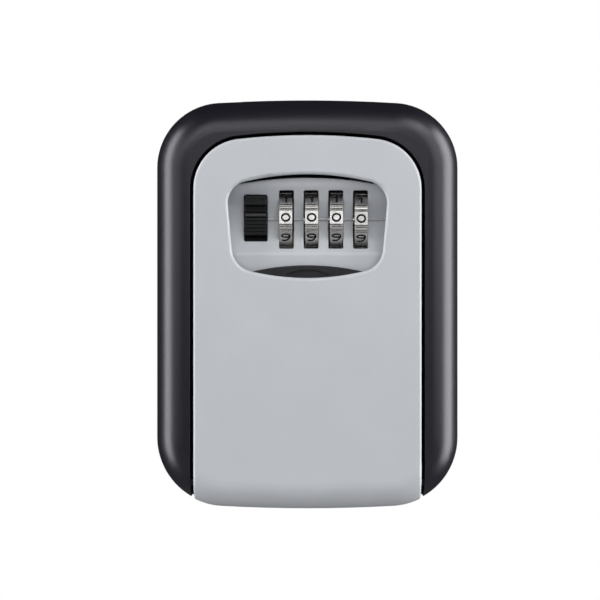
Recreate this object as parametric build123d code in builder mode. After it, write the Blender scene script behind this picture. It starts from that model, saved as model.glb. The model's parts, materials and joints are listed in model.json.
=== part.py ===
from build123d import *
import os
from math import cos, radians, sin

# Wall-mounted key lock box. Millimetres.
# X runs to the right as you face the box, Z runs up, and the wall is the plane Y = 0.
# The box stands out from the wall towards -Y, so "depth" below is distance from the wall.
# The origin is the centre of the flat back face.

os.makedirs("parts", exist_ok=True)

# ---------------------------------------------------------------- driving dimensions
# housing
body_half_width = 45.0
body_half_height = 61.0
body_crown = 455.0            # radius of the slightly arched top and bottom edges
body_top_corner = 19.5
body_bottom_corner = 20.5
housing_depth = 37.5
bullnose = 9.5                # rounding of the housing's front edge
back_round = 1.2
housing_wall = 2.5
jamb_wall = 1.6
jamb_back = 30.0              # depth at which the jamb and the door's flanges stop
wall_hole_x = 22.0            # the four fixing holes stand at +/- these places
wall_hole_z = 35.0
wall_hole_radius = 2.5

# door
door_depth = 38.0             # depth of the door's front face
door_half_width = 33.7
door_top = 49.9
door_crown = 183.0
door_corner = 14.8
door_gap = 1.0                # gap between door and jamb
door_wall = 2.0
door_foot_round = 8.0         # the door's foot is rounded about the hinge axis
door_edge_round = 0.8
hinge_depth = 30.0
hinge_z = -53.0
door_heel = 9.7               # the door keeps inside this radius behind the hinge
heel_clearance = 0.5
barrel_radius = 4.0
barrel_length = 6.2
hinge_pin_radius = 1.25
pin_hole_end = 37.2           # blind end of the pin holes in the housing
running_gap = 0.05

# dial window in the door
window_top = 38.4
window_bottom = 7.7
window_half_top = 24.0
window_half_bottom = 21.9
window_shoulder = 34.7        # height of the window's upper corners
window_heel = 11.15           # height of its lower corners
window_top_round = 6.5
window_foot_round = 7.0
window_rim_round = 1.0

# weather shutter, in the gap behind the door's skin
shutter_front = 35.8
shutter_back = 34.6
shutter_half_width = 25.5
shutter_top = 11.5
shutter_bottom = -22.2
shutter_crown = 74.0
shutter_corner = 1.5
shutter_edge_round = 0.3
grip_half_width = 6.6         # the fingernail notch in the shutter's top edge
grip_top = 10.2
grip_side = 8.6
grip_bottom = 6.4
grip_depth = 0.6
rail_width = 1.2
rail_side_gap = 0.3
rail_bottom = -24.0
rail_top = 42.0
retainer_half_width = 31.0
retainer_bottom = -24.6
retainer_opening = (38.0, 15.0)
retainer_opening_z = -11.0

# dial plate: a flat border with a long scoop across the wheels
plate_front = 34.3
plate_back = 33.0
plate_bottom = 4.2
plate_inset = 2.7
dial_z = 25.15                # height of the wheel axis
scoop_floor = 30.7            # depth at the lowest point of the scoop
scoop_radius = 15.7
scoop_wall = 1.3
scoop_half_length = 24.4
scoop_lip_round = 2.5
index_line_radius = 0.45
index_line_z = 25.25
crescent_half_width = 22.3    # the narrow gap between the plate and the window's arched top
crescent_crown = 37.45
crescent_end = 35.2
crescent_behind = 1.0         # how far the gap runs up behind the door

# wheels
wheel_count = 4
digit_count = 10
wheel_axis_depth = 24.2
slot_pitch = 7.35
first_slot_x = -6.24
slot_width = 4.45
slot_height = 17.4
side_play = (-0.20, 0.15, 0.18, 0.20)   # where each wheel has settled in its slot
wheel_width = 3.85
wheel_flat = 9.77             # axis to the flat pads that carry the digits
wheel_rib = 9.95              # axis to the round bands between the pads
wheel_turn = (3.4, 3.4, 3.4, 1.3)       # how far past its detent each wheel has been thumbed
groove_radius = 0.42
groove_spread = 4.1           # angle from a rib's middle to each groove beside it
digit_depth = 0.15
digit_half_width = 1.45
digit_half_height = 1.33
digit_stroke = 0.55
shaft_radius = 1.75
hub_radius = 3.2
hub_inset = 0.1               # hub end behind the wheel's left face
key_width = 0.8               # the key that turns a sleeve with its wheel
key_rise = 0.45
key_notch = (1.4, 1.0)
cam_radius = 4.8
cam_width = 1.2
cam_offset = 0.9              # from a wheel's right face to its cam
gate_width = 1.8
gate_depth = 1.2
reset_travel = 1.2
clip_width = 0.4
clip_radius = 3.0
clip_mouth = 2.0
clip_groove_radius = 1.35

# lock frame
frame_left = -10.3
frame_right = 22.8
frame_wall = 1.2
frame_web_bottom = 13.0
frame_web_top = 14.2
frame_back = 13.9
cheek_back = 17.0
cheek_front = 29.0
cheek_top = 34.0
flange_left = -8.0
flange_right = 18.5
front_flange_bottom = 7.5
back_flange_bottom = 7.2
seat_left = -18.5
seat_back = 21.5
seat_bottom = 7.2
seat_top = 8.4
finger_gap = 0.15
finger_width = 0.6
finger_back = 22.6
finger_front = 25.8
finger_play = 0.3

# open button and its latch
button_x = -15.4
button_width = 6.4
button_toe = 0.6              # bevel along the button's lower front edge
button_slot_width = 7.1
button_slot_bottom = 18.6
button_slot_top = 32.55
button_bottom = 20.45
button_top = 32.25
button_face = 32.8
button_crest = 33.9
thumb_floor = 32.3            # deepest point of the thumb hollow
thumb_bottom = 25.45
thumb_middle = 27.45
thumb_top = 29.45
crest_top = 31.75
crest_lines = (29.65, 31.65)
crest_bevel = 0.5
ridge_radius = 0.35
ridge_pitch = 1.04
ridge_start = 20.85
ridge_count = 5
latch_back = 23.4
latch_front = 25.4
latch_bar_right = 20.1
nose_half_width = 5.0
nose_bevel = 1.2
fence_half_width = 0.5
rivet_radius = 0.8
rivet_head_radius = 1.5
rivet_head_height = 0.7
rivet_length = 2.9
rivet_places = [(button_x, 22.45), (button_x, 30.25)]
spring_depth = 24.4
spring_stud_radius = 1.3
spring_stud_height = 2.6
spring_pin_radius = 0.95
spring_pin_length = 2.5
spring_wire = 0.3
spring_radius = 1.9
spring_turns = 5
latch_bar_bottom = 38.0
latch_bar_top = 42.0
latch_arm_foot = 16.5
latch_tip = 51.1
fence_foot = 32.15

# lock cover
cover_back = 11.2
cover_wall = 1.2
cover_half_width = 27.0
cover_bottom = 5.6
cover_top = 45.2
cover_corner = 3.5
cover_edge_round = 1.0
post_x = 24.0
post_radius = 2.0
post_low_z = 8.6
post_high_z = 41.8

# fasteners
screw_radius = 0.9
screw_play = 0.2              # clearance round a screw that passes through a plate
screw_head_radius = 1.7
screw_head_height = 0.8
cross_length = 2.2
cross_width = 0.45

# detent spring and reset slider
leaf_thickness = 0.4
leaf_half_width = 1.3
leaf_tip = 28.0
leaf_root = 12.8
strip_left = -7.6
strip_right = 18.2
strip_bottom = 7.6
bump_radius = 0.45
bump_inset = 0.3
nub_left = -12.8
nub_width = 2.2
nub_proud = 1.3
bar_low = 9.3
bar_high = 10.9
bar_right = 19.3

wheel_places = [
    first_slot_x + index * slot_pitch + side_play[index] for index in range(wheel_count)
]
slot_places = [first_slot_x + index * slot_pitch for index in range(wheel_count)]
scoop_centre = scoop_floor + scoop_radius
hinge_point = (hinge_depth, hinge_z)


# ---------------------------------------------------------------- planes and shared shapes
def wall_plane(depth):
    """A plane parallel to the wall: x runs right and y runs up."""
    return Plane.XZ.offset(depth)


def side_plane(x):
    """A plane square to the shafts: its x is the depth and its y runs up."""
    return Plane(origin=(x, 0, 0), x_dir=(0, -1, 0), z_dir=(-1, 0, 0))


def arch_drop(half_width, radius):
    """How far an arch of this radius falls from its middle to its ends."""
    return radius - (radius**2 - half_width**2) ** 0.5


def arched_outline(half_top, half_bottom, shoulder, top, heel, bottom, top_round, bottom_round):
    """Four rounded corners joined by an arched top, an arched bottom and straight sides."""
    with BuildLine() as edge:
        ThreePointArc((-half_top, shoulder), (0, top), (half_top, shoulder))
        Line((half_top, shoulder), (half_bottom, heel))
        ThreePointArc((half_bottom, heel), (0, bottom), (-half_bottom, heel))
        Line((-half_bottom, heel), (-half_top, shoulder))
    with BuildSketch() as outline:
        make_face(edge.edges())
        corners = outline.vertices().group_by(Axis.Y)
        fillet(corners[-1], top_round)
        if bottom_round:
            fillet(outline.vertices().group_by(Axis.Y)[0], bottom_round)
    return outline.sketch


def body_outline(inset=0.0):
    """The housing's outline, drawn in by the inset."""
    shoulder = body_half_height - arch_drop(body_half_width, body_crown)
    full = arched_outline(
        body_half_width, body_half_width, shoulder, body_half_height, -shoulder,
        -body_half_height, body_top_corner, body_bottom_corner,
    )
    with BuildSketch() as outline:
        add(full)
        if inset:
            offset(amount=-inset, mode=Mode.REPLACE)
    return outline.sketch


def door_outline(grow=0.0):
    """The door's arched top and straight sides, run on below the body's foot."""
    run_on = -body_half_height - 12
    shoulder = door_top - arch_drop(door_half_width, door_crown)
    with BuildLine() as edge:
        ThreePointArc((-door_half_width, shoulder), (0, door_top), (door_half_width, shoulder))
        Line((door_half_width, shoulder), (door_half_width, run_on))
        Line((door_half_width, run_on), (-door_half_width, run_on))
        Line((-door_half_width, run_on), (-door_half_width, shoulder))
    with BuildSketch() as outline:
        make_face(edge.edges())
        fillet(outline.vertices().group_by(Axis.Y)[-1], door_corner)
        if grow:
            offset(amount=grow, mode=Mode.REPLACE)
    return outline.sketch


def block(x_low, x_high, depth_low, depth_high, z_low, z_high, mode=Mode.ADD):
    """A plain block between two depths, for the part being built."""
    with BuildSketch(wall_plane(depth_low)) as face:
        with Locations(((x_low + x_high) / 2, (z_low + z_high) / 2)):
            Rectangle(x_high - x_low, z_high - z_low)
    extrude(face.sketch, amount=depth_high - depth_low, mode=mode)


def rods(places, depth_low, depth_high, radius, mode=Mode.ADD):
    """Round bosses or holes square to the wall, one at each (x, z) place."""
    with BuildSketch(wall_plane(depth_low)) as face:
        with Locations(*places):
            Circle(radius)
    extrude(face.sketch, amount=depth_high - depth_low, mode=mode)


def cross_rod(x_low, x_high, depth, z, radius, mode=Mode.ADD):
    """A round bar or bore along X."""
    with BuildSketch(side_plane(x_high)) as face:
        with Locations((depth, z)):
            Circle(radius)
    extrude(face.sketch, amount=x_high - x_low, mode=mode)


def finish(part, name):
    """Name a finished piece and write it out."""
    part.label = name
    export_step(part, f"parts/{name}.step")


def back_screws(places, tip_depth, seat_depth, name):
    """Screws driven towards the front: each head stands behind its seat and has a cross slot."""
    with BuildPart() as screws:
        rods(places, seat_depth, tip_depth, screw_radius)
        rods(places, seat_depth - screw_head_height, seat_depth, screw_head_radius)
        head_back = seat_depth - screw_head_height
        with BuildSketch(wall_plane(head_back)) as slots:
            with Locations(*places):
                Rectangle(cross_length, cross_width)
                Rectangle(cross_width, cross_length)
        extrude(slots.sketch, amount=screw_head_height / 2, mode=Mode.SUBTRACT)
    finish(screws.part, name)


# ---------------------------------------------------------------- housing
# The hollow inside the shell leaves the jamb round the door and the two hinge ears standing.
with BuildPart() as hollow:
    with BuildSketch(wall_plane(housing_wall)):
        add(body_outline(housing_wall))
    extrude(amount=housing_depth - 2 * housing_wall)
    fillet(hollow.faces().sort_by(Axis.Y)[0].edges(), bullnose - housing_wall)
    with BuildSketch(wall_plane(jamb_back)):
        add(door_outline(door_gap + jamb_wall))
        add(door_outline(door_gap), mode=Mode.SUBTRACT)
    extrude(amount=housing_depth - jamb_back, mode=Mode.SUBTRACT)
    ear_inner = door_half_width + door_gap
    for side in (-1, 1):
        ear_ends = sorted((side * ear_inner, side * body_half_width))
        cross_rod(ear_ends[0], ear_ends[1], *hinge_point, barrel_radius + 1, Mode.SUBTRACT)

with BuildPart() as housing:
    with BuildSketch(wall_plane(0)):
        add(body_outline())
    extrude(amount=housing_depth)
    fillet(housing.faces().sort_by(Axis.Y)[0].edges(), bullnose)
    fillet(housing.faces().sort_by(Axis.Y)[-1].edges(), back_round)
    add(hollow.part, mode=Mode.SUBTRACT)
    with BuildSketch(wall_plane(jamb_back)):
        add(door_outline(door_gap))
    extrude(amount=housing_depth, mode=Mode.SUBTRACT)
    cross_rod(-ear_inner, ear_inner, *hinge_point, door_heel + heel_clearance, Mode.SUBTRACT)
    cross_rod(-pin_hole_end, pin_hole_end, *hinge_point, hinge_pin_radius, Mode.SUBTRACT)
    wall_holes = [(x, z) for x in (-wall_hole_x, wall_hole_x) for z in (-wall_hole_z, wall_hole_z)]
    rods(wall_holes, 0, housing_wall, wall_hole_radius, Mode.SUBTRACT)
finish(housing.part, "housing")

# Two short pins, driven outwards through the door's barrels into the ears.
barrel_inner = door_half_width - barrel_length
with BuildPart() as hinge_pins:
    cross_rod(barrel_inner - 0.8, pin_hole_end - 0.1, *hinge_point, hinge_pin_radius)
    cross_rod(0.1 - pin_hole_end, 0.8 - barrel_inner, *hinge_point, hinge_pin_radius)
finish(hinge_pins.part, "hinge_pins")


# ---------------------------------------------------------------- door
def door_blank(inset, depth):
    """The door's solid form, drawn in by the inset, with its foot rounded about the hinge."""
    blank_back = hinge_depth - 12
    with BuildPart() as blank:
        with BuildSketch(wall_plane(blank_back)):
            add(body_outline(inset))
        extrude(amount=depth - blank_back)
        fillet(blank.faces().sort_by(Axis.Y)[0].edges(), door_foot_round - inset)
        with BuildSketch(wall_plane(blank_back)):
            add(door_outline(-inset))
        extrude(amount=depth - blank_back, mode=Mode.INTERSECT)
    return blank.part


def window_outline():
    """The dial window: an arched top and foot, with sides that lean in towards the foot."""
    return arched_outline(
        window_half_top, window_half_bottom, window_shoulder, window_top, window_heel,
        window_bottom, window_top_round, window_foot_round,
    )


plate_screw_places = [(-28.8, 9.0), (28.8, 9.0), (-29.0, 38.0), (29.0, 38.0)]
retainer_screw_places = [(-28.8, -2.0), (28.8, -2.0), (-28.8, -22.0), (28.8, -22.0)]
door_boss_radius = 2.2

with BuildPart() as door_shell:
    add(door_blank(0, door_depth))
    front_face = door_shell.faces().filter_by(Axis.Y).sort_by(Axis.Y)[0]
    rim = front_face.edges().filter_by(lambda edge: edge.center().Z > hinge_z + 1)
    fillet(rim, door_edge_round)
    add(door_blank(door_wall, door_depth - door_wall), mode=Mode.SUBTRACT)
    # behind the hinge axis only a round heel is left, so that the door clears the housing
    heel_half_length = door_half_width + 1
    with BuildSketch(side_plane(heel_half_length)) as heel_cut:
        with Locations((hinge_depth - 15, 0)):
            Rectangle(30, 140)
        with Locations(hinge_point):
            Circle(door_heel, mode=Mode.SUBTRACT)
    extrude(heel_cut.sketch, amount=2 * heel_half_length, mode=Mode.SUBTRACT)
    for side in (-1, 1):
        barrel_ends = sorted((side * barrel_inner, side * (door_half_width - door_wall / 2)))
        cross_rod(barrel_ends[0], barrel_ends[1], *hinge_point, barrel_radius)
    bore = hinge_pin_radius + running_gap
    cross_rod(-door_half_width - 1, door_half_width + 1, *hinge_point, bore, Mode.SUBTRACT)
    with BuildSketch(wall_plane(door_depth - door_wall - 1)):
        add(window_outline())
    extrude(amount=door_wall + 2, mode=Mode.SUBTRACT)
    window_wires = door_shell.faces().filter_by(Axis.Y).sort_by(Axis.Y)[0].inner_wires()
    fillet(window_wires[0].edges(), window_rim_round)
    # rails that guide the shutter, and bosses for the plates behind it
    rail_inner = shutter_half_width + rail_side_gap
    skin_root = door_depth - door_wall + 0.3
    for side in (-1, 1):
        rail_sides = sorted((side * rail_inner, side * (rail_inner + rail_width)))
        block(rail_sides[0], rail_sides[1], plate_front, skin_root, rail_bottom, rail_top)
    rods(plate_screw_places + retainer_screw_places, plate_front, skin_root, door_boss_radius)
    rods(
        plate_screw_places + retainer_screw_places,
        plate_front, door_depth - 0.9, screw_radius, Mode.SUBTRACT,
    )
finish(door_shell.part, "door_shell")

# ---------------------------------------------------------------- weather shutter and its retainer
shutter_shoulder = shutter_top - arch_drop(shutter_half_width, shutter_crown)
with BuildLine() as shutter_edge:
    ThreePointArc(
        (-shutter_half_width, shutter_shoulder), (0, shutter_top), (shutter_half_width, shutter_shoulder)
    )
    Line((shutter_half_width, shutter_shoulder), (shutter_half_width, shutter_bottom))
    Line((shutter_half_width, shutter_bottom), (-shutter_half_width, shutter_bottom))
    Line((-shutter_half_width, shutter_bottom), (-shutter_half_width, shutter_shoulder))
with BuildLine() as grip_edge:
    ThreePointArc((-grip_half_width, grip_side), (0, grip_top), (grip_half_width, grip_side))
    ThreePointArc((grip_half_width, grip_side), (0, grip_bottom), (-grip_half_width, grip_side))
with BuildPart() as shutter:
    with BuildSketch(wall_plane(shutter_back)) as face:
        make_face(shutter_edge.edges())
        fillet(face.vertices(), shutter_corner)
    extrude(amount=shutter_front - shutter_back)
    top_edges = shutter.faces().filter_by(Axis.Y).sort_by(Axis.Y)[0].edges()
    fillet(top_edges, shutter_edge_round)
    # a shallow fingernail notch in its top edge, by which it is pushed up
    with BuildSketch(wall_plane(shutter_front - grip_depth)):
        make_face(grip_edge.edges())
    extrude(amount=1, mode=Mode.SUBTRACT)
finish(shutter.part, "shutter")

with BuildPart() as shutter_retainer:
    block(
        -retainer_half_width, retainer_half_width, plate_back, plate_front,
        retainer_bottom, plate_bottom - 0.6,
    )
    fillet(shutter_retainer.edges().filter_by(Axis.Y), shutter_corner)
    rods(retainer_screw_places, plate_back, plate_front, screw_radius + screw_play, Mode.SUBTRACT)
    # a long window saves metal behind the shutter
    with BuildSketch(wall_plane(plate_back)):
        with Locations((0, retainer_opening_z)):
            RectangleRounded(*retainer_opening, 2 * shutter_corner)
    extrude(amount=plate_front - plate_back, mode=Mode.SUBTRACT)
finish(shutter_retainer.part, "shutter_retainer")
back_screws(retainer_screw_places, door_depth - 1.1, plate_back, "retainer_screws")

# ---------------------------------------------------------------- dial plate
cover_posts = [(x, z) for x in (-post_x, post_x) for z in (post_low_z, post_high_z)]
frame_screw_places = [(-5.0, 10.0), (15.0, 10.0)]
trough_half_length = scoop_half_length + scoop_wall

crescent_top = window_top + crescent_behind
crescent_side = crescent_end + crescent_behind
with BuildLine() as crescent_edge:
    ThreePointArc(
        (-crescent_half_width, crescent_end), (0, crescent_crown), (crescent_half_width, crescent_end)
    )
    Line((crescent_half_width, crescent_end), (crescent_half_width, crescent_side))
    ThreePointArc(
        (crescent_half_width, crescent_side), (0, crescent_top), (-crescent_half_width, crescent_side)
    )
    Line((-crescent_half_width, crescent_side), (-crescent_half_width, crescent_end))

with BuildPart() as dial_plate:
    with BuildSketch(wall_plane(plate_back)):
        add(door_outline(-plate_inset))
        with Locations((0, plate_bottom - 60)):
            Rectangle(100, 120, mode=Mode.SUBTRACT)
    extrude(amount=plate_front - plate_back)
    # the scoop is a trough of even wall, curved about a line in front of the wheels
    with BuildSketch(side_plane(trough_half_length)) as trough:
        with Locations((scoop_centre, dial_z)):
            Circle(scoop_radius + scoop_wall)
        with Locations((plate_back - 7.5 + 0.5, dial_z)):
            Rectangle(15, 40, mode=Mode.INTERSECT)
    extrude(trough.sketch, amount=2 * trough_half_length)
    cross_rod(
        -scoop_half_length, scoop_half_length, scoop_centre, dial_z, scoop_radius, Mode.SUBTRACT
    )
    lips = dial_plate.edges().filter_by(Axis.X).filter_by(
        lambda edge: abs(edge.center().Y + plate_front) < 0.01 and abs(edge.center().Z - dial_z) < 12
    )
    fillet(lips, scoop_lip_round)
    # raised index line along the floor of the scoop
    line_start = button_x + button_slot_width / 2
    cross_rod(line_start, scoop_half_length, scoop_floor, index_line_z, index_line_radius)
    with BuildSketch(wall_plane(scoop_floor - 8)) as slots:
        with Locations(*[(x, dial_z) for x in slot_places]):
            RectangleRounded(slot_width, slot_height, 0.5)
        with Locations((button_x, (button_slot_bottom + button_slot_top) / 2)):
            RectangleRounded(button_slot_width, button_slot_top - button_slot_bottom, 0.5)
    extrude(slots.sketch, amount=14, mode=Mode.SUBTRACT)
    # a crescent gap that shows as a dark line under the window's arched top
    with BuildSketch(wall_plane(plate_back)):
        make_face(crescent_edge.edges())
    extrude(amount=plate_front - plate_back, mode=Mode.SUBTRACT)
    rods(plate_screw_places, plate_back, plate_front, screw_radius + screw_play, Mode.SUBTRACT)
    rods(cover_posts, plate_back, plate_front, screw_radius, Mode.SUBTRACT)
    rods(frame_screw_places, plate_back, plate_front - 0.4, screw_radius, Mode.SUBTRACT)
finish(dial_plate.part, "dial_plate")
back_screws(plate_screw_places, door_depth - 1.1, plate_back, "dial_plate_screws")

# ---------------------------------------------------------------- lock frame
finger_slot = finger_width + reset_travel + 2 * finger_gap
detent_screw_places = [(-4.0, 10.2), (14.0, 10.2)]


def cam_left(wheel_x):
    """Left face of the cam beside a wheel."""
    return wheel_x + wheel_width / 2 + cam_offset


with BuildPart() as lock_frame:
    block(frame_left, frame_right, frame_back, plate_back, frame_web_bottom, frame_web_top)
    for left in (frame_left, frame_right - frame_wall):
        block(left, left + frame_wall, cheek_back, cheek_front, frame_web_bottom, cheek_top)
    # flanges that take the screws: one against the dial plate, one for the detent spring
    block(
        flange_left, flange_right, plate_back - frame_wall, plate_back,
        front_flange_bottom, frame_web_top,
    )
    block(
        flange_left, flange_right, frame_back, frame_back + frame_wall,
        back_flange_bottom, frame_web_top,
    )
    # seat for the lever spring, out to the left on a short leg
    block(
        frame_left, frame_left + frame_wall, finger_front + finger_play + 0.3, cheek_front,
        seat_bottom, frame_web_top,
    )
    block(seat_left, frame_left + frame_wall, seat_back, cheek_front, seat_bottom, seat_top)
    cross_rod(frame_left, frame_right, wheel_axis_depth, dial_z, shaft_radius, Mode.SUBTRACT)
    for wheel_x in wheel_places:
        slot_left = cam_left(wheel_x) - cam_offset + 0.05
        block(
            slot_left, slot_left + finger_slot, finger_back - finger_play,
            finger_front + finger_play, frame_web_bottom, frame_web_top, Mode.SUBTRACT,
        )
    rods(frame_screw_places, plate_back - frame_wall, plate_back, screw_radius + 0.1, Mode.SUBTRACT)
    rods(detent_screw_places, frame_back, frame_back + frame_wall, screw_radius, Mode.SUBTRACT)
    with BuildSketch(Plane.XY.offset(seat_top)) as stud:
        with Locations((button_x, -spring_depth)):
            Circle(spring_stud_radius)
    extrude(stud.sketch, amount=spring_stud_height)
finish(lock_frame.part, "lock_frame")
back_screws(frame_screw_places, plate_front - 0.5, plate_back - frame_wall, "frame_screws")

# ---------------------------------------------------------------- shaft and its clips
left_clip = frame_left - clip_width - 0.1
right_clip = frame_right + 0.1
with BuildPart() as wheel_shaft:
    cross_rod(frame_left - 1.3, frame_right + 0.8, wheel_axis_depth, dial_z, shaft_radius)
    for clip_x in (left_clip, right_clip):
        with BuildSketch(side_plane(clip_x + clip_width + 0.05)) as groove:
            with Locations((wheel_axis_depth, dial_z)):
                Circle(shaft_radius + 1)
                Circle(clip_groove_radius, mode=Mode.SUBTRACT)
        extrude(groove.sketch, amount=clip_width + 0.1, mode=Mode.SUBTRACT)
finish(wheel_shaft.part, "wheel_shaft")

with BuildPart() as shaft_clips:
    for clip_x in (left_clip, right_clip):
        with BuildSketch(side_plane(clip_x + clip_width)) as clip:
            with Locations((wheel_axis_depth, dial_z)):
                Circle(clip_radius)
                Circle(clip_groove_radius + 0.02, mode=Mode.SUBTRACT)
            with Locations((wheel_axis_depth, dial_z - clip_radius / 2 - 0.5)):
                Rectangle(clip_mouth, clip_radius + 1, mode=Mode.SUBTRACT)
        extrude(clip.sketch, amount=clip_width)
finish(shaft_clips.part, "shaft_clips")


# ---------------------------------------------------------------- number wheels and their digits
def digit_strokes(digit):
    """Centre lines of a digit, drawn upright about the origin."""
    w = digit_half_width - digit_stroke / 2
    h = digit_half_height - digit_stroke / 2
    q = h / 2
    with BuildLine() as lines:
        if digit == 1:
            Line((-w / 2, h / 2), (0.1, h))
            Line((0.1, h), (0.1, -h))
        elif digit == 2:
            ThreePointArc((-w, q), (0, h), (w, q))
            Line((w, q), (-w, -h))
            Line((-w, -h), (w, -h))
        elif digit == 3:
            Line((-w, h), (w, h))
            Line((w, h), (0, 0.15))
            ThreePointArc((0, 0.15), (w, -q), (-w, -h + 0.2))
        elif digit == 4:
            Line((w / 2, -h), (w / 2, h))
            Line((w / 2, h), (-w, -q / 2))
            Line((-w, -q / 2), (w, -q / 2))
        elif digit == 5:
            Line((w, h), (-w * 0.8, h))
            Line((-w * 0.8, h), (-w, 0.1))
            ThreePointArc((-w, 0.1), (w, -q + 0.1), (-w, -h + 0.1))
        elif digit == 6:
            ThreePointArc((w * 0.8, h), (-w * 0.75, q), (-w, -q))
        elif digit == 7:
            Line((-w, h), (w, h))
            Line((w, h), (-w / 3, -h))
        elif digit == 9:
            ThreePointArc((-w * 0.8, -h), (w * 0.75, -q), (w, q))
    return lines


def digit_loops(digit):
    """Centre height and half height of each closed loop in a digit."""
    h = digit_half_height - digit_stroke / 2
    if digit == 0:
        return [(0, h)]
    loops = []
    if digit in (6, 8):
        loops.append((-h / 2, h / 2))
    if digit in (8, 9):
        loops.append((h / 2, h / 2))
    return loops


def digit_face(digit):
    """A digit's face, each stroke widened to the pen's width."""
    loops = digit_loops(digit)
    strokes = [] if digit in (0, 8) else digit_strokes(digit).edges()
    with BuildSketch() as face:
        for height, half_height in loops:
            with Locations((0, height)):
                Ellipse(digit_half_width, half_height + digit_stroke / 2)
        for height, half_height in loops:
            with Locations((0, height)):
                Ellipse(
                    digit_half_width - digit_stroke, half_height - digit_stroke / 2,
                    mode=Mode.SUBTRACT,
                )
        for stroke in strokes:
            trace(stroke, digit_stroke)
            for end in (stroke @ 0, stroke @ 1):
                with Locations(end):
                    Circle(digit_stroke / 2)
    return face.sketch


def pad_plane(digit):
    """The plane of the flat pad that carries a digit; 0 faces out of the box, 1 is above it."""
    turn = radians(digit * 360 / digit_count)
    outward = (0, -cos(turn), sin(turn))
    middle = (0, -wheel_axis_depth - wheel_flat * cos(turn), dial_z + wheel_flat * sin(turn))
    return Plane(origin=middle, x_dir=(1, 0, 0), z_dir=outward)


with BuildPart() as digit_set:
    for digit in range(digit_count):
        with BuildSketch(pad_plane(digit)):
            add(digit_face(digit))
        extrude(amount=-digit_depth)

pad_angle = 360 / digit_count
with BuildPart() as wheel_blank:
    with BuildSketch(side_plane(wheel_width / 2)) as wheel_face:
        with Locations((wheel_axis_depth, dial_z)):
            RegularPolygon(wheel_flat, digit_count, major_radius=False, rotation=pad_angle / 2)
            Circle(wheel_rib, mode=Mode.INTERSECT)
            Circle(hub_radius + running_gap, mode=Mode.SUBTRACT)
            for spread in (-groove_spread, groove_spread):
                with PolarLocations(wheel_rib - 0.15, digit_count, start_angle=pad_angle / 2 + spread):
                    Circle(groove_radius, mode=Mode.SUBTRACT)
            with PolarLocations(hub_radius, digit_count, start_angle=pad_angle / 2):
                Rectangle(*key_notch, mode=Mode.SUBTRACT)
    extrude(wheel_face.sketch, amount=wheel_width)
    add(digit_set.part, mode=Mode.SUBTRACT)

wheel_axis = Axis((0, -wheel_axis_depth, dial_z), (1, 0, 0))
wheel_order = list(zip(range(1, wheel_count + 1), wheel_places, wheel_turn))
for number, wheel_x, turn in wheel_order:
    place = Location((wheel_x, 0, 0))
    finish(wheel_blank.part.rotate(wheel_axis, -turn).moved(place), f"number_wheel_{number}")
    finish(digit_set.part.rotate(wheel_axis, -turn).moved(place), f"digits_{number}")

# Each code sleeve runs through its wheel, keyed to it, with the gated cam on its right.
for number, wheel_x, turn in wheel_order:
    hub_left = wheel_x - wheel_width / 2 + hub_inset
    with BuildPart() as code_sleeve:
        cam_start = cam_left(wheel_x)
        cross_rod(hub_left, cam_start + cam_width, wheel_axis_depth, dial_z, hub_radius)
        cross_rod(cam_start, cam_start + cam_width, wheel_axis_depth, dial_z, cam_radius)
        block(
            hub_left, cam_start - cam_offset,
            wheel_axis_depth - key_width / 2, wheel_axis_depth + key_width / 2,
            dial_z - hub_radius - key_rise, dial_z - hub_radius + key_rise,
        )
        bore = shaft_radius + running_gap
        cross_rod(hub_left, cam_start + cam_width, wheel_axis_depth, dial_z, bore, Mode.SUBTRACT)
        block(
            cam_start, cam_start + cam_width,
            wheel_axis_depth - gate_width / 2, wheel_axis_depth + gate_width / 2,
            dial_z + cam_radius - gate_depth, dial_z + cam_radius + 1, Mode.SUBTRACT,
        )
    finish(code_sleeve.part.rotate(wheel_axis, -turn), f"code_sleeve_{number}")

# ---------------------------------------------------------------- detent spring
leaf_front = frame_back
leaf_back = frame_back - leaf_thickness
with BuildPart() as detent_spring:
    block(strip_left, strip_right, leaf_back, leaf_front, strip_bottom, leaf_root)
    for wheel_x in wheel_places:
        leaf_left = wheel_x - leaf_half_width
        leaf_right = wheel_x + leaf_half_width
        block(leaf_left, leaf_right, leaf_back, leaf_front, leaf_root, leaf_tip)
        cross_rod(leaf_left, leaf_right, leaf_front - bump_inset, dial_z, bump_radius)
    rods(detent_screw_places, leaf_back, leaf_front, screw_radius + 0.1, Mode.SUBTRACT)
finish(detent_spring.part, "detent_spring")
back_screws(detent_screw_places, frame_back + frame_wall + 0.6, leaf_back, "detent_screws")

# ---------------------------------------------------------------- reset slider
nub_right = nub_left + nub_width
with BuildPart() as reset_slider:
    block(nub_left, bar_right, finger_back, finger_front, bar_low, bar_high)
    block(nub_left, nub_right, cover_back - nub_proud, finger_front, bar_low, bar_high)
    for wheel_x in wheel_places:
        finger_left = cam_left(wheel_x) - finger_gap - finger_width
        block(
            finger_left, finger_left + finger_width, finger_back, finger_front,
            bar_low, dial_z - hub_radius - 0.4,
        )
finish(reset_slider.part, "reset_slider")

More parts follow.
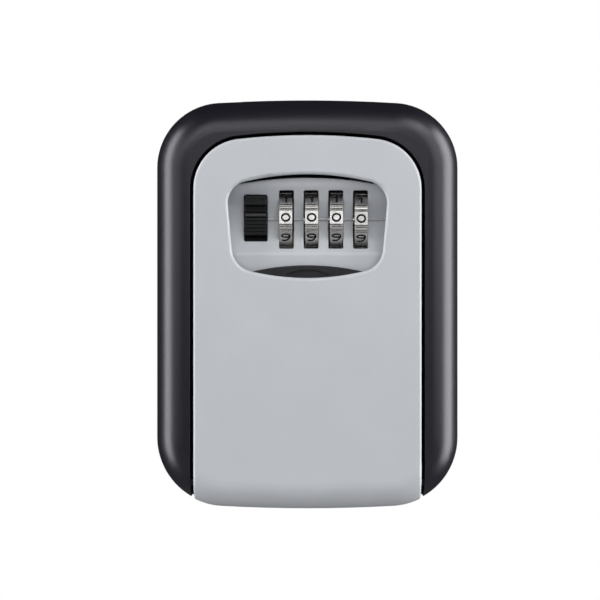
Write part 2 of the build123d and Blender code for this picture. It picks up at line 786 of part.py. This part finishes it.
# ---------------------------------------------------------------- lock cover
with BuildPart() as lock_cover:
    block(-cover_half_width, cover_half_width, cover_back, plate_back, cover_bottom, cover_top)
    fillet(lock_cover.edges().filter_by(Axis.Y), cover_corner)
    fillet(lock_cover.faces().sort_by(Axis.Y)[-1].edges(), cover_edge_round)
    with BuildSketch(wall_plane(cover_back + cover_wall)):
        with Locations((0, (cover_bottom + cover_top) / 2)):
            RectangleRounded(
                2 * (cover_half_width - cover_wall), cover_top - cover_bottom - 2 * cover_wall,
                cover_corner - cover_wall,
            )
        with Locations(*cover_posts):
            Circle(post_radius, mode=Mode.SUBTRACT)
    extrude(amount=plate_back - cover_back, mode=Mode.SUBTRACT)
    rods(cover_posts, cover_back, cover_back + screw_head_height + 0.1,
         screw_head_radius + 0.1, Mode.SUBTRACT)
    rods(cover_posts, cover_back, plate_back, screw_radius + 0.1, Mode.SUBTRACT)
    # slots for the latch nose and for the reset nub
    nose_slot = nose_half_width + 0.5
    block(-nose_slot, nose_slot, latch_back - 0.4, latch_front + 0.4,
          cover_top - 2, cover_top + 1, Mode.SUBTRACT)
    block(nub_left - finger_play, nub_right + reset_travel + finger_play, cover_back - 1,
          cover_back + cover_wall + 1, bar_low - 0.2, bar_high + 0.2, Mode.SUBTRACT)
finish(lock_cover.part, "lock_cover")
back_screws(cover_posts, plate_front - 0.2, cover_back + screw_head_height + 0.1, "cover_screws")

# ---------------------------------------------------------------- open button, latch and springs
with BuildPart() as latch_plate:
    button_left = button_x - button_width / 2
    button_right = button_x + button_width / 2
    block(button_left, button_right, latch_back, latch_front, latch_arm_foot, latch_bar_top)
    block(
        button_left, latch_bar_right, latch_back, latch_front, latch_bar_bottom, latch_bar_top
    )
    block(-nose_half_width, nose_half_width, latch_back, latch_front, latch_bar_top, latch_tip)
    for wheel_x in wheel_places:
        fence_x = cam_left(wheel_x) + cam_width / 2
        block(
            fence_x - fence_half_width, fence_x + fence_half_width, latch_back, latch_front,
            fence_foot, latch_bar_bottom,
        )
    tip_edge = latch_plate.edges().filter_by(Axis.X).group_by(Axis.Z)[-1].sort_by(Axis.Y)[0]
    chamfer(tip_edge, nose_bevel)
    with BuildSketch(Plane.XY.offset(latch_arm_foot)) as stud:
        with Locations((button_x, -spring_depth)):
            Circle(spring_pin_radius)
    extrude(stud.sketch, amount=-spring_pin_length)
    rods(rivet_places, latch_back, latch_front, rivet_radius, Mode.SUBTRACT)
finish(latch_plate.part, "latch_plate")

ridge_places = [(button_face, ridge_start + index * ridge_pitch) for index in range(ridge_count)]
crest_places = [(button_crest - 0.05, z) for z in crest_lines]
button_outline = [
    (latch_front, button_bottom), (button_face - button_toe, button_bottom),
    (button_face, button_bottom + button_toe), (button_face, thumb_bottom),
]
with BuildLine() as button_edge:
    Polyline(*button_outline)
    ThreePointArc((button_face, thumb_bottom), (thumb_floor, thumb_middle), (button_crest, thumb_top))
    Line((button_crest, thumb_top), (button_crest, crest_top))
    Line((button_crest, crest_top), (button_crest - crest_bevel, button_top))
    Line((button_crest - crest_bevel, button_top), (latch_front, button_top))
    Line((latch_front, button_top), (latch_front, button_bottom))
with BuildPart() as open_button:
    with BuildSketch(side_plane(button_right)) as button_side:
        make_face(button_edge.edges())
        with Locations(*(ridge_places + crest_places)):
            Circle(ridge_radius)
    extrude(button_side.sketch, amount=button_width)
    rods(rivet_places, latch_front, latch_front + rivet_length + 0.1, rivet_radius, Mode.SUBTRACT)
finish(open_button.part, "open_button")

with BuildPart() as button_rivets:
    rods(rivet_places, latch_back, latch_front + rivet_length, rivet_radius)
    rods(rivet_places, latch_back - rivet_head_height, latch_back, rivet_head_radius)
    fillet(button_rivets.faces().sort_by(Axis.Y)[-1].edges(), 0.4)
    fillet(button_rivets.faces().sort_by(Axis.Y)[-1].edges(), 0.4)
finish(button_rivets.part, "button_rivets")

spring_low = seat_top + spring_wire
spring_high = latch_arm_foot - spring_wire
with BuildPart() as lever_spring:
    with BuildLine():
        coil = Helix(
            pitch=(spring_high - spring_low) / spring_turns, height=spring_high - spring_low,
            radius=spring_radius, center=(button_x, -spring_depth, spring_low),
        )
    with BuildSketch(Plane(origin=coil @ 0, z_dir=coil % 0)):
        Circle(spring_wire)
    sweep()
finish(lever_spring.part, "lever_spring")
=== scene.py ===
import json
import math

import bpy
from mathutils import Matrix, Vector


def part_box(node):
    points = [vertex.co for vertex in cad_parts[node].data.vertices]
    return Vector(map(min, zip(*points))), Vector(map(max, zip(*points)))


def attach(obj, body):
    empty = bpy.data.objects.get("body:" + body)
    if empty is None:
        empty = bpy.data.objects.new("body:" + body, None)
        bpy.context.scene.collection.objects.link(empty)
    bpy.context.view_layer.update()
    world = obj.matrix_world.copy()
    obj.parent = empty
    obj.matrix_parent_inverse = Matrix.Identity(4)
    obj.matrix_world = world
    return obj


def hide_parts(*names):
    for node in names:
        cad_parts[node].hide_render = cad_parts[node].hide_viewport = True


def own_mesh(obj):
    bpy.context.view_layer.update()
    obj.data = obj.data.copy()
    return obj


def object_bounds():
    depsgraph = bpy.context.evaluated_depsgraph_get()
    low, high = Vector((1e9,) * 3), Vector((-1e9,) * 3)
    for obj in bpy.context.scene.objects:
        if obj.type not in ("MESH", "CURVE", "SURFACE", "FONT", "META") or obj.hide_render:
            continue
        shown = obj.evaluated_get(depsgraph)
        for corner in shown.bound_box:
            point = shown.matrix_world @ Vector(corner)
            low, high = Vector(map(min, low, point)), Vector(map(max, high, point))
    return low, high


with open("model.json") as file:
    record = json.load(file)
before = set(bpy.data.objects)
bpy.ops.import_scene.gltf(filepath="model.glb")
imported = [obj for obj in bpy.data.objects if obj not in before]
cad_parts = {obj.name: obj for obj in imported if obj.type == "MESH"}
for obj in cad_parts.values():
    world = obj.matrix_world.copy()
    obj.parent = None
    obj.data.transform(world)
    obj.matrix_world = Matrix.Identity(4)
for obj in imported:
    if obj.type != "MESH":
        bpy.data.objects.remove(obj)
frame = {"nodes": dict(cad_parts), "record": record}
cad_low, cad_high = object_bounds()
nodes = frame["nodes"]

# ---------------------------------------------------------------- places, from the frame
MM = 0.001
door_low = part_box("door_shell")[0]
front_y = door_low.y                      # the door's front face
centre_z = (cad_low.z + cad_high.z) / 2

# ---------------------------------------------------------------- camera
CAMERA_DISTANCE = 0.600                   # from the door's front face
CAMERA_X = -2.2 * MM                      # the lens looks at a point a little left of
CAMERA_Z = 1.2 * MM                       # and above the middle of the box
FIELD_HEIGHT = 179.6 * MM                 # height of the picture where the body is widest
WIDEST_BEHIND_FRONT = 9.0 * MM
SENSOR = 36.0                             # width in millimetres, as the lens length is
NEAREST = 0.01
FARTHEST = 20


def add_camera():
    data = bpy.data.cameras.new("camera")
    camera = bpy.data.objects.new("camera", data)
    bpy.context.collection.objects.link(camera)
    camera.location = (CAMERA_X, front_y - CAMERA_DISTANCE, CAMERA_Z)
    camera.rotation_euler = (math.radians(90), 0, 0)
    data.sensor_width = SENSOR
    data.lens = SENSOR * (CAMERA_DISTANCE + WIDEST_BEHIND_FRONT) / FIELD_HEIGHT
    data.clip_start = NEAREST
    data.clip_end = FARTHEST
    bpy.context.scene.camera = camera


# ---------------------------------------------------------------- material kit
PAINT_EDGE = 0.18 * MM                    # radius that light sees on the sharp edges
PLASTIC_EDGE = 0.15 * MM
METAL_EDGE = 0.12 * MM
FINE_BUMP = 0.003 * MM                    # height of moulding grain and machining lines
SHADER_SAMPLES = 6


class Nodes:
    """Short names for building one material's node tree."""

    def __init__(self, name):
        self.material = bpy.data.materials.new(name)
        self.material.use_nodes = True
        self.tree = self.material.node_tree
        self.shader = self.tree.nodes["Principled BSDF"]
        self.coords = self.tree.nodes.new("ShaderNodeTexCoord").outputs["Object"]
        self.corner = None

    def link(self, source, target):
        self.tree.links.new(source, target)

    def scaled(self, x, y, z):
        """Object coordinates stretched by these factors."""
        mapping = self.tree.nodes.new("ShaderNodeMapping")
        mapping.inputs["Scale"].default_value = (x, y, z)
        self.link(self.coords, mapping.inputs["Vector"])
        return mapping.outputs["Vector"]

    def noise(self, scale, detail, vector=None):
        node = self.tree.nodes.new("ShaderNodeTexNoise")
        node.inputs["Scale"].default_value = scale
        node.inputs["Detail"].default_value = detail
        self.link(vector or self.coords, node.inputs["Vector"])
        return node.outputs["Fac"]

    def voronoi(self, scale):
        node = self.tree.nodes.new("ShaderNodeTexVoronoi")
        node.inputs["Scale"].default_value = scale
        self.link(self.coords, node.inputs["Vector"])
        return node.outputs["Distance"]

    def spread(self, value, low, high, from_low=0.3, from_high=0.7):
        """A texture value turned into a range of numbers."""
        node = self.tree.nodes.new("ShaderNodeMapRange")
        node.inputs["From Min"].default_value = from_low
        node.inputs["From Max"].default_value = from_high
        node.inputs["To Min"].default_value = low
        node.inputs["To Max"].default_value = high
        self.link(value, node.inputs["Value"])
        return node.outputs["Result"]

    def mixed(self, value, first, second):
        """Two colours mixed by a texture value."""
        node = self.tree.nodes.new("ShaderNodeMix")
        node.data_type = "RGBA"
        self.link(value, node.inputs["Factor"])
        for socket, colour in (("A", first), ("B", second)):
            target = [s for s in node.inputs if s.name == socket and s.type == "RGBA"][0]
            if isinstance(colour, bpy.types.NodeSocket):
                self.link(colour, target)
            else:
                target.default_value = (*colour, 1)
        return [s for s in node.outputs if s.type == "RGBA"][0]

    def share(self, value, amount):
        """This share of a value."""
        return self.math("MULTIPLY", value, amount)

    def math(self, operation, first, second):
        node = self.tree.nodes.new("ShaderNodeMath")
        node.operation = operation
        for place, value in enumerate((first, second)):
            if isinstance(value, bpy.types.NodeSocket):
                self.link(value, node.inputs[place])
            else:
                node.inputs[place].default_value = value
        return node.outputs[0]

    def rounded(self, radius):
        """Normals that run smoothly over the sharp edges within this radius."""
        node = self.tree.nodes.new("ShaderNodeBevel")
        node.samples = SHADER_SAMPLES
        node.inputs["Radius"].default_value = radius
        self.corner = node.outputs["Normal"]
        return self.corner

    def on_edges(self):
        """1 where the rounded normals leave the flat faces, 0 elsewhere."""
        geometry = self.tree.nodes.new("ShaderNodeNewGeometry")
        dot = self.tree.nodes.new("ShaderNodeVectorMath")
        dot.operation = "DOT_PRODUCT"
        self.link(self.corner, dot.inputs[0])
        self.link(geometry.outputs["Normal"], dot.inputs[1])
        return self.spread(dot.outputs["Value"], low=1, high=0, from_low=0.80, from_high=0.995)

    def hollows(self, reach, clear=0.75):
        """1 in corners and crevices, 0 where at least the clear share of the view is open; a mask
        for painting shade.
        """
        node = self.tree.nodes.new("ShaderNodeAmbientOcclusion")
        node.samples = SHADER_SAMPLES
        node.inputs["Distance"].default_value = reach
        return self.spread(node.outputs["AO"], low=1, high=0, from_low=0.2, from_high=clear)

    def bump(self, height, distance):
        node = self.tree.nodes.new("ShaderNodeBump")
        node.inputs["Distance"].default_value = distance
        node.inputs["Strength"].default_value = 1.0
        self.link(height, node.inputs["Height"])
        if self.corner:
            self.link(self.corner, node.inputs["Normal"])
        self.link(node.outputs["Normal"], self.shader.inputs["Normal"])

    def set(self, **values):
        for name, value in values.items():
            socket = self.shader.inputs[name.replace("_", " ")]
            if isinstance(value, bpy.types.NodeSocket):
                self.link(value, socket)
            else:
                socket.default_value = value


def shade(tone, share):
    """A darker tone for a share below 1, a lighter one above."""
    return tuple(value * share for value in tone)


def satin_paint(name, tone, roughness, peel_size, peel_depth, gloss, sheen=(1, 1, 1)):
    """Sprayed or powder paint: fine orange peel, slight mottling and a satin sheen."""
    paint = Nodes(name)
    paint.rounded(PAINT_EDGE)
    mottle = paint.spread(paint.noise(scale=70, detail=4), low=0, high=1)
    # painted shade: the paint darkened in corners, recesses and near other parts
    painted_shade = paint.share(paint.hollows(reach=3.5 * MM), amount=0.35)
    # edges made slightly lighter, for wear
    lighter_edges = paint.share(paint.on_edges(), amount=0.25)
    colour = paint.mixed(mottle, shade(tone, 0.96), tone)
    colour = paint.mixed(lighter_edges, colour, shade(tone, 1.25))
    colour = paint.mixed(painted_shade, colour, shade(tone, 0.55))
    cells = paint.spread(paint.voronoi(peel_size * 1.7), low=0, high=0.4, from_low=0, from_high=1)
    peel = paint.math("ADD", paint.noise(peel_size, detail=2), cells)
    haze = paint.noise(scale=1400, detail=2)
    paint.set(
        Base_Color=colour,
        Roughness=paint.spread(haze, low=roughness - 0.03, high=roughness + 0.03),
        Specular_IOR_Level=gloss,
        Specular_Tint=(*sheen, 1),
    )
    paint.bump(peel, peel_depth)
    return paint.material


def moulded_plastic(name, tone, lighter, roughness, grain, gloss=0.5, edge_wear_and_highlight=2.2):
    """Moulded plastic with a fine spark-eroded grain, its edges lighter by the given factor: wear at
    the small default factor, a painted highlight at a large one.
    """
    plastic = Nodes(name)
    plastic.rounded(PLASTIC_EDGE)
    mottle = plastic.spread(plastic.noise(scale=260, detail=3), low=0, high=1)
    # edges made lighter: wear, and on the black button a painted highlight along the ridges
    lighter_edges = plastic.share(plastic.on_edges(), amount=0.4)
    haze = plastic.noise(scale=500, detail=3)
    plastic.set(
        Base_Color=plastic.mixed(lighter_edges, plastic.mixed(mottle, tone, lighter), shade(lighter, edge_wear_and_highlight)),
        Roughness=plastic.spread(haze, low=roughness - 0.04, high=roughness + 0.04),
        Specular_IOR_Level=gloss,
    )
    plastic.bump(plastic.noise(grain, detail=3), FINE_BUMP)
    return plastic.material


def worked_metal(
    name, tone, roughness, stretch, line_scale=300, painted_shade_share=0.6, reach=0.8 * MM, clear=0.75
):
    """Machined or rolled metal, its fine lines running along one direction."""
    metal = Nodes(name)
    metal.rounded(METAL_EDGE)
    lines = metal.noise(line_scale, detail=4, vector=metal.scaled(*stretch))
    mottle = metal.spread(metal.noise(scale=150, detail=3), low=0, high=1)
    # painted shade: the metal darkened, nearly to black, in hollows and close to other parts
    painted_shade = metal.share(metal.hollows(reach, clear), painted_shade_share)
    colour = metal.mixed(mottle, shade(tone, 0.88), tone)
    metal.set(
        Base_Color=metal.mixed(painted_shade, colour, shade(tone, 0.10)),
        Metallic=1.0,
        Roughness=metal.spread(lines, low=roughness - 0.06, high=roughness + 0.08),
    )
    metal.bump(lines, FINE_BUMP)
    return metal.material


def paint_node(node, material):
    for place in nodes[node].material_slots:
        place.material = material


# ---------------------------------------------------------------- materials on the CAD nodes
EVEN = (1, 1, 1)                          # lines in no one direction
ALONG_X = (0.2, 1, 1)
ALONG_Z = (1, 1, 0.1)
TURNED = (1, 0.2, 0.2)
WHEEL_LINES = (1, 0.12, 0.12)

FINISHES = {
    "black_paint": satin_paint(
        "black_satin_paint", (0.0062, 0.0060, 0.0095), roughness=0.34, peel_size=900,
        peel_depth=0.010 * MM, gloss=0.47, sheen=(0.96, 0.94, 1),
    ),
    "grey_paint": satin_paint(
        "grey_satin_paint", (0.445, 0.462, 0.492), roughness=0.42, peel_size=900,
        peel_depth=0.008 * MM, gloss=0.5,
    ),
    # edges lightened fifty times: a painted highlight on the button's ridges
    "black_plastic": moulded_plastic(
        "black_button_plastic", (0.003, 0.003, 0.0035), (0.004, 0.004, 0.0045), roughness=0.14,
        grain=3000, gloss=0.22, edge_wear_and_highlight=50,
    ),
    "black_shutter": moulded_plastic(
        "black_shutter_plastic", (0.009, 0.009, 0.011), (0.013, 0.013, 0.016), roughness=0.38,
        grain=3000, gloss=0.35,
    ),
    "digit_paint": moulded_plastic(
        "black_digit_paint", (0.004, 0.004, 0.005), (0.006, 0.006, 0.007), roughness=0.6,
        grain=2500, gloss=0.12,
    ),
    # painted shade: the wheels and sleeves darkened nearly to black inside their slots
    "wheel_metal": worked_metal(
        "satin_nickel", (0.62, 0.61, 0.595), roughness=0.25, stretch=WHEEL_LINES, line_scale=500,
        painted_shade_share=0.95, reach=2.4 * MM, clear=0.95,
    ),
    "brass": worked_metal(
        "turned_brass", (0.78, 0.60, 0.32), roughness=0.28, stretch=TURNED, painted_shade_share=0.9,
        reach=3.0 * MM, clear=0.95,
    ),
    "black_oxide": worked_metal(
        "blackened_steel", (0.055, 0.055, 0.06), roughness=0.40, stretch=ALONG_X
    ),
    "steel": worked_metal("ground_steel", (0.60, 0.60, 0.60), roughness=0.24, stretch=ALONG_X),
    "steel_sheet": worked_metal(
        "plated_sheet_steel", (0.60, 0.61, 0.62), roughness=0.34, stretch=ALONG_Z
    ),
    "zinc_plated": worked_metal(
        "plated_screw_steel", (0.70, 0.69, 0.66), roughness=0.28, stretch=EVEN
    ),
    "spring_steel": worked_metal(
        "spring_steel", (0.42, 0.42, 0.43), roughness=0.30, stretch=ALONG_X
    ),
    "cast_cover": worked_metal(
        "cast_cover_metal", (0.72, 0.73, 0.74), roughness=0.52, stretch=EVEN, line_scale=2500,
        painted_shade_share=0.3,
    ),
}
for part in frame["record"]["subparts"]:
    if part["node"] in nodes:
        paint_node(part["node"], FINISHES[part["material_slot"]])


# ---------------------------------------------------------------- spring carried by the door
def add_spring():
    """The button's coil spring, copied from the CAD part with a mesh of its own and carried by the
    door body.
    """
    cad = nodes["lever_spring"]
    spring = bpy.data.objects.new("button_spring", cad.data.copy())
    bpy.context.collection.objects.link(spring)
    spring.matrix_world = cad.matrix_world.copy()
    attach(spring, "door")
    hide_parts("lever_spring")
    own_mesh(spring)


# ---------------------------------------------------------------- stage and light
# Softboxes: angle round to the right of the camera, angle above it, distance, width, height, watts
SOFTBOXES = {
    "left_strip": (-80, 8, 0.75, 0.36, 1.0, 9),
    "right_strip": (86, 8, 0.75, 0.50, 1.0, 13),
    "top_bank": (0, 36, 0.9, 0.8, 0.24, 1.5),
    "front_box": (4, 9.5, 1.1, 0.45, 0.18, 0.5),
    "right_box": (42, 14, 0.9, 0.40, 0.50, 1.5),
    "left_box": (-42, 14, 0.9, 0.40, 0.50, 1),
    "right_high": (40, 45, 0.9, 0.40, 0.30, 2),
    "low_front": (0, -32, 1.0, 1.2, 0.5, 1),
    "front_wide": (-12, 22, 1.0, 0.50, 0.16, 1),
}
WORLD_FILL = 0.02
WORLD_TINT = (0.96, 0.98, 1, 1)
WHITE = (1, 1, 1, 1)
FLOOR_BELOW = 1.30                        # the box hangs at chest height
FLOOR_SIZE = 6.0


def softbox(name, turn, rise, distance, width, height, watts):
    """A softbox at these angles from the camera's direction, facing the box."""
    data = bpy.data.lights.new(name, "AREA")
    data.shape = "RECTANGLE"
    data.size = width
    data.size_y = height
    data.energy = watts
    light = bpy.data.objects.new(name, data)
    bpy.context.collection.objects.link(light)
    across = distance * math.cos(math.radians(rise))
    light.location = (
        across * math.sin(math.radians(turn)),
        front_y - across * math.cos(math.radians(turn)),
        centre_z + distance * math.sin(math.radians(rise)),
    )
    aim = Vector((0, front_y, centre_z)) - light.location
    light.rotation_euler = aim.to_track_quat("-Z", "Y").to_euler()


def camera_sees(tree, usual, seen):
    """The shader that the camera sees directly, with the usual one for all other rays."""
    path = tree.nodes.new("ShaderNodeLightPath")
    mix = tree.nodes.new("ShaderNodeMixShader")
    tree.links.new(path.outputs["Is Camera Ray"], mix.inputs[0])
    tree.links.new(usual, mix.inputs[1])
    tree.links.new(seen, mix.inputs[2])
    return mix.outputs[0]


def add_floor():
    """A pale floor that the camera sees evenly lit, and that other rays see by its own light."""
    pale = Nodes("pale_floor")
    patches = pale.spread(pale.noise(scale=3, detail=2), low=0, high=1)
    tone = pale.mixed(patches, (0.86, 0.86, 0.86), (0.90, 0.90, 0.90))
    pale.set(Base_Color=tone, Roughness=0.9)
    glow = pale.tree.nodes.new("ShaderNodeEmission")
    pale.link(tone, glow.inputs["Color"])
    surface = camera_sees(pale.tree, pale.shader.outputs[0], glow.outputs[0])
    pale.link(surface, pale.tree.nodes["Material Output"].inputs["Surface"])
    mesh = bpy.data.meshes.new("floor")
    half = FLOOR_SIZE / 2
    corners = [(-half, -half, 0), (half, -half, 0), (half, half, 0), (-half, half, 0)]
    mesh.from_pydata(corners, [], [(0, 1, 2, 3)])
    mesh.materials.append(pale.material)
    floor = bpy.data.objects.new("floor", mesh)
    floor.location = (0, 0, cad_low.z - FLOOR_BELOW)
    bpy.context.collection.objects.link(floor)


def add_world():
    """A white backdrop for the camera and a dim, even fill for everything else."""
    world = bpy.data.worlds.new("world")
    bpy.context.scene.world = world
    world.use_nodes = True
    tree = world.node_tree
    fill = tree.nodes["Background"]
    fill.inputs["Color"].default_value = WORLD_TINT
    fill.inputs["Strength"].default_value = WORLD_FILL
    white = tree.nodes.new("ShaderNodeBackground")
    white.inputs["Color"].default_value = WHITE
    surface = camera_sees(tree, fill.outputs[0], white.outputs[0])
    tree.links.new(surface, tree.nodes["World Output"].inputs["Surface"])


add_spring()
add_camera()
add_floor()
add_world()
for name, numbers in SOFTBOXES.items():
    softbox(name, *numbers)
bpy.context.scene.view_settings.view_transform = "Standard"
